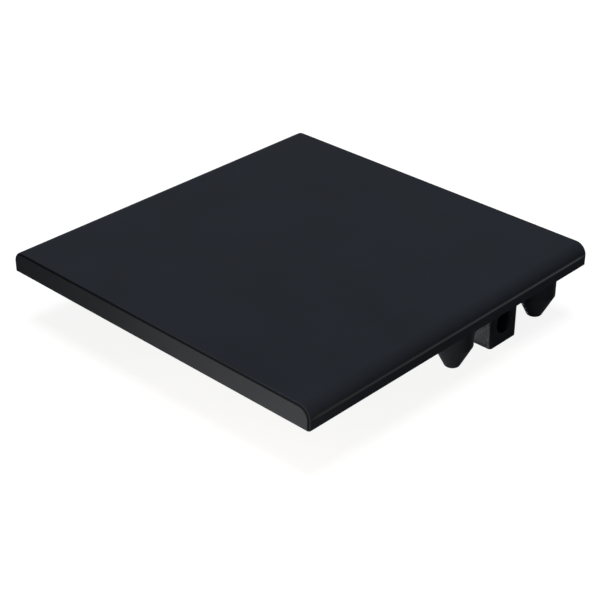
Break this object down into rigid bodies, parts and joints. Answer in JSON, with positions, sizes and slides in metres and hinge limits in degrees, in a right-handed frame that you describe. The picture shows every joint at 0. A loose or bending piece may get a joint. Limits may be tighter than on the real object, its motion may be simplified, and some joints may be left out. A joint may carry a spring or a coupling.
{
  "type": "profile end cap",
  "caption": "Square plastic cap that closes the end of a framing profile, with round pins and drilled slot keys under a cover plate with two rounded edges.",
  "frame": {"origin": "middle of the seating face, which is the cover plate's underside", "axes": "+Z out of the cover side, away from the profile; +X towards the end that carries the pins and keys; Y across the two rounded edges, which run along X"},
  "size_m": [0.08, 0.08, 0.0158],
  "materials": {
    "moulded_plastic": "fine matt moulded black"
  },
  "bodies": {
    "root": {"end_cap": "moulded_plastic"}
  },
  "joints": []
}
